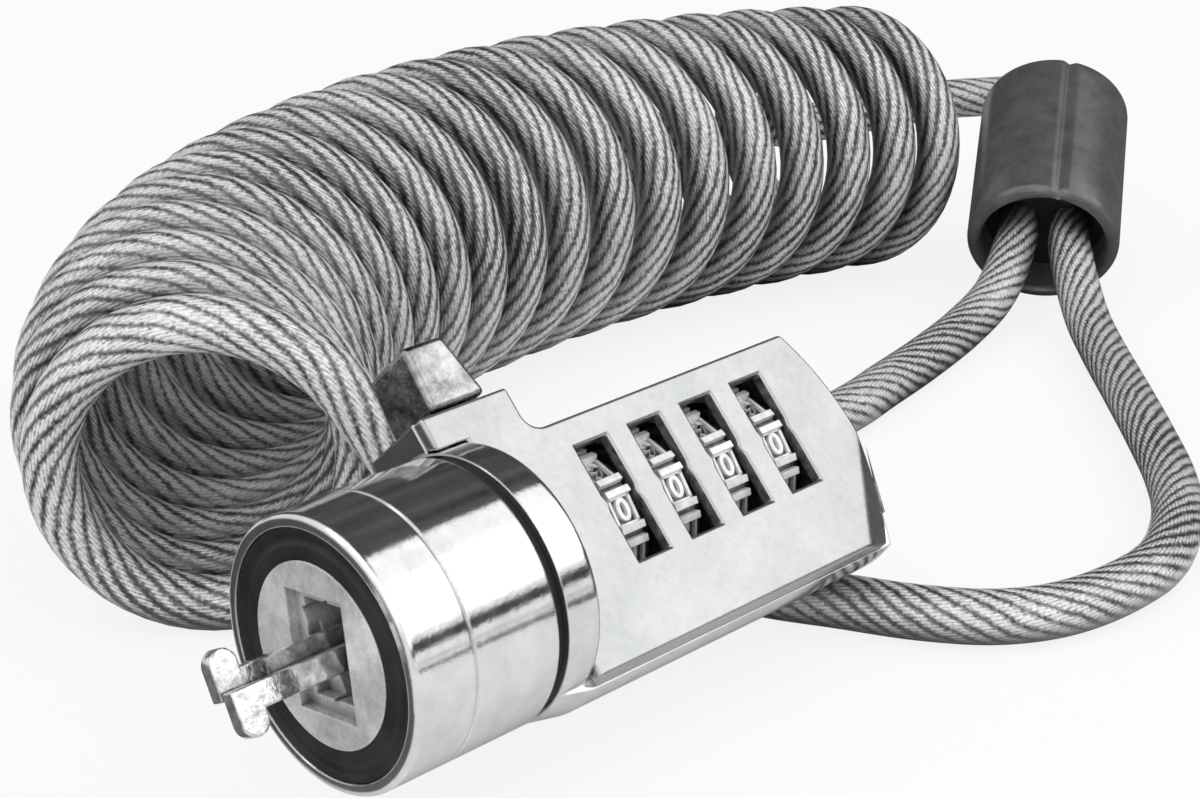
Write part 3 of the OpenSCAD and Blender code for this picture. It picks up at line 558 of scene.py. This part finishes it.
# ---- thumb slide ---------------------------------------------------------------------
# A polished steel block that the thumb draws back; its stem runs through the lobe of the
# casing to the carriage inside.
slide_metal = worked_finish("slide_metal", (0.55, 0.56, 0.56), metallic=1.0, roughness=0.2,
                            fine=(300, 6, 0.75), gloss=(0.14, 0.32),
                            dark=(0.03, 0.032, 0.032), light=(0.6, 0.61, 0.61),
                            relief=0.5, depth=0.2 * mm, edge=0.2 * mm)
tab = rounded_copy("thumb_tab", "thumb_slide", 0.5 * mm, slide_metal)
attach(tab, "slide")

# ---- dials ---------------------------------------------------------------------------
# Four zinc wheels with ten faces each, blackened and then ground bright on the raised
# digits, frames and ribs. The digits run from 0 to 9 round every wheel.
dial_bright = worked_finish("dial_ground_bright", (0.6, 0.61, 0.6), metallic=0.1, roughness=0.25,
                            fine=(1300, 4), dark=(0.7, 0.71, 0.7), light=(1, 1, 0.99),
                            relief=0.3, depth=0.05 * mm, edge=0.1 * mm)

# The wheels turn on a shaft below the lock's axis. All sizes here are in mm.
roll = Matrix.Rotation(body_roll, 4, "X")
shaft = Vector((0, 1.2, -2.5))
wheel_first, wheel_pitch = 26.575, 5.5
digit_face = 5.66
frame_half_x, frame_half_y = 1.1, 1.15
side_bar, end_bar = 0.26, 0.22
frame_root, frame_top = 5.3, 5.85
cap_half_x, cap_half_y = 1.15, 0.27
cap_root, cap_top = 5.7, 6.29
cap_degrees = (13, 23)
face_degrees, dial_phase = 36, 8


def slab(mesh, low, high, turn):
    """A box on the wheel, between two corners, turned about the shaft."""
    corners = [Vector((x, y, z)) for x in (low[0], high[0]) for y in (low[1], high[1])
               for z in (low[2], high[2])]
    verts = [mesh.verts.new(turn @ (corner * mm)) for corner in corners]
    for quad in ((0, 1, 3, 2), (4, 6, 7, 5), (0, 4, 5, 1), (2, 3, 7, 6), (0, 2, 6, 4), (1, 5, 7, 3)):
        mesh.faces.new([verts[k] for k in quad])


def digit_shape(number):
    """The mesh of one raised digit, lying flat about its middle."""
    lettering = bpy.data.curves.new("digit", "FONT")
    lettering.body = str(number)
    lettering.size = 2.3 * mm
    lettering.align_x, lettering.align_y = "CENTER", "CENTER"
    lettering.offset = 0.06 * mm
    lettering.extrude = 0.2 * mm
    lettering.bevel_depth = 0.03 * mm
    holder = placed("digit", lettering)
    bpy.context.view_layer.update()
    finished = holder.evaluated_get(bpy.context.evaluated_depsgraph_get())
    shape = bpy.data.meshes.new_from_object(finished)
    bpy.data.objects.remove(holder)
    return shape


digit_shapes = [digit_shape(number) for number in range(10)]
for wheel in range(4):
    middle = roll @ Matrix.Translation((shaft + Vector((wheel_first + wheel_pitch * wheel, 0, 0))) * mm)
    mesh = bmesh.new()
    for face in range(10):
        turn = middle @ Matrix.Rotation(math.radians(dial_phase - face_degrees * face), 4, "X")
        # a frame of four thin bars with the digit standing inside it
        for x in (-frame_half_x, frame_half_x - side_bar):
            slab(mesh, (x, -frame_half_y, frame_root), (x + side_bar, frame_half_y, frame_top), turn)
        for y in (-frame_half_y, frame_half_y - end_bar):
            slab(mesh, (-frame_half_x, y, frame_root), (frame_half_x, y + end_bar, frame_top), turn)
        digit = digit_shapes[(10 - face) % 10].copy()
        digit.transform(turn @ Matrix.Translation((0, 0, digit_face * mm)))
        mesh.from_mesh(digit)
        bpy.data.meshes.remove(digit)
        # bright caps on the two ribs beside the digit
        for step in cap_degrees:
            slab(mesh, (-cap_half_x, -cap_half_y, cap_root), (cap_half_x, cap_half_y, cap_top),
                 turn @ Matrix.Rotation(math.radians(-step), 4, "X"))
    bmesh.ops.recalc_face_normals(mesh, faces=mesh.faces)
    digits = piece_from("dial_digits_" + str(wheel + 1), mesh)
    digits.data.materials.append(dial_bright)
    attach(digits, "wheel_" + str(wheel + 1))
    finish_node(dial_black_and_window_shade, "dial_" + str(wheel + 1))

# ---- works inside the casing ---------------------------------------------------------
# Turned and stamped steel parts, plain and lightly oiled, and brass clutch sleeves that
# couple each dial to the shaft. The socket that holds the cable's tail is black.
works = worked_finish("turned_steel", (0.45, 0.46, 0.47), metallic=1.0, roughness=0.34,
                      fine=(1400, 3), dark=(0.34, 0.35, 0.36), light=(0.56, 0.57, 0.58),
                      relief=0.2, depth=0.05 * mm, edge=0.1 * mm)
finish_node(works, "slide_carriage", "push_rod", "slide_spring", "spindle", "dial_spacers",
            "detent_spring", "rear_bearing", "reset_screw", "cover_screws", "cable_pivot")
brass = worked_finish("clutch_brass", (0.6, 0.42, 0.18), metallic=1.0, roughness=0.3,
                      fine=(900, 4), dark=(0.45, 0.3, 0.12), light=(0.72, 0.52, 0.24),
                      relief=0.2, depth=0.05 * mm, edge=0.1 * mm)
finish_node(brass, "clutch_1", "clutch_2", "clutch_3", "clutch_4")
finish_node(ferrule_black, "cable_socket")

# ---- table and light ---------------------------------------------------------------
# A white table, a white surround that metal reflects, and soft lamps at a plain level.
# Dark boards outside the view give the mirror metal its dark zones.
table_white, tree, shader = new_finish("table_white", (0.9, 0.9, 0.9), 0.0, 0.7)
table_glow = 0.85
glow = tree.nodes.new("ShaderNodeEmission")
glow.inputs["Strength"].default_value = 1.0
seen = tree.nodes.new("ShaderNodeMixShader")
seen.inputs["Fac"].default_value = table_glow
either = tree.nodes.new("ShaderNodeMixShader")
ray = tree.nodes.new("ShaderNodeLightPath")
tree.links.new(shader.outputs[0], seen.inputs[1])
tree.links.new(glow.outputs[0], seen.inputs[2])
tree.links.new(ray.outputs["Is Camera Ray"], either.inputs["Fac"])
tree.links.new(shader.outputs[0], either.inputs[1])
tree.links.new(seen.outputs[0], either.inputs[2])
tree.links.new(either.outputs[0], tree.nodes["Material Output"].inputs["Surface"])


def board(name, corners, faces, finish):
    """A board of the set, which isn't part of the lock."""
    data = bpy.data.meshes.new(name)
    data.from_pydata(corners, [], faces)
    data.materials.append(finish)
    made = placed(name, data)
    return made


def flat_board(name, low, high, height, finish):
    """A board that lies flat between two corners."""
    corners = [(low[0], low[1], height), (high[0], low[1], height),
               (high[0], high[1], height), (low[0], high[1], height)]
    return board(name, corners, [(0, 1, 2, 3)], finish)


table_half = 3
flat_board("table", (-table_half, -table_half), (table_half, table_half), floor_z, table_white)

surround_light = 0.45
world = bpy.data.worlds.new("studio")
bpy.context.scene.world = world
world.use_nodes = True
tree = world.node_tree
ray = tree.nodes.new("ShaderNodeLightPath")
shown = reckon(tree, "MAXIMUM", ray.outputs["Is Camera Ray"], ray.outputs["Is Glossy Ray"])
shown = reckon(tree, "MAXIMUM", shown, ray.outputs["Is Transmission Ray"])
sky = tree.nodes["Background"]
sky.inputs["Color"].default_value = (1, 1, 1, 1)
tree.links.new(spread(tree, shown, surround_light, 1.0, dark=0, light=1), sky.inputs["Strength"])


def soft_lamp(name, place, aim, size, power):
    """A wide lamp that points from its place to its aim."""
    data = bpy.data.lights.new(name, "AREA")
    data.shape = "RECTANGLE"
    data.size, data.size_y = size
    data.energy = power
    lamp = placed(name, data)
    lamp.location = place
    lamp.rotation_mode = "QUATERNION"
    lamp.rotation_quaternion = (Vector(aim) - Vector(place)).to_track_quat("-Z", "Y")


soft_lamp("key_lamp", (0.28, -0.34, 0.42), (0.05, 0.02, 0), size=(0.9, 0.6), power=2.0)
soft_lamp("top_lamp", (-0.42, 0.02, 0.44), (0.06, 0.03, 0), size=(0.8, 0.8), power=2.4)

card_grey, tree, shader = new_finish("card_grey", (0.05, 0.05, 0.052), 0.0, 0.9)
card_tone = shades(tree, noise(tree, 9, 4, 0.7), ((0.3, (0.015, 0.015, 0.016)), (0.7, (0.17, 0.17, 0.175))))
tree.links.new(card_tone, shader.inputs["Base Color"])


def only_reflected(dark_board):
    """Mirror metal shows the board; the lens, the shadows and the other light don't."""
    dark_board.visible_camera = False
    dark_board.visible_diffuse = False
    dark_board.visible_shadow = False


def curved_card(name, turns, heights):
    """A dark card on a sphere round the lock, between two turns and two heights in degrees."""
    far, columns, rows = 0.8, 24, 8
    across = [math.radians(turns[0] + (turns[1] - turns[0]) * i / columns) for i in range(columns + 1)]
    up = [math.radians(heights[0] + (heights[1] - heights[0]) * i / rows) for i in range(rows + 1)]
    corners = [(far * math.cos(e) * math.cos(a), far * math.cos(e) * math.sin(a), far * math.sin(e))
               for e in up for a in across]
    starts = [r * (columns + 1) + c for r in range(rows) for c in range(columns)]
    faces = [(k, k + 1, k + columns + 2, k + columns + 1) for k in starts]
    only_reflected(board(name, corners, faces, card_grey))


curved_card("back_card", (-14, 100), (-1, 90))
curved_card("top_card", (-110, -14), (48, 90))
curved_card("low_card", (-110, -42), (6, 13))
curved_card("corner_card", (-42, -14), (-1, 20))
curved_card("side_card", (150, 200), (10, 60))

board_height = floor_z + 0.1 * mm
only_reflected(flat_board("nose_board", (-0.09, 0), (-0.005, 0.1), board_height, card_grey))
only_reflected(flat_board("rear_board", (0.085, -0.2), (0.7, 0.15), board_height, card_grey))

bpy.context.scene.view_settings.view_transform = "Standard"
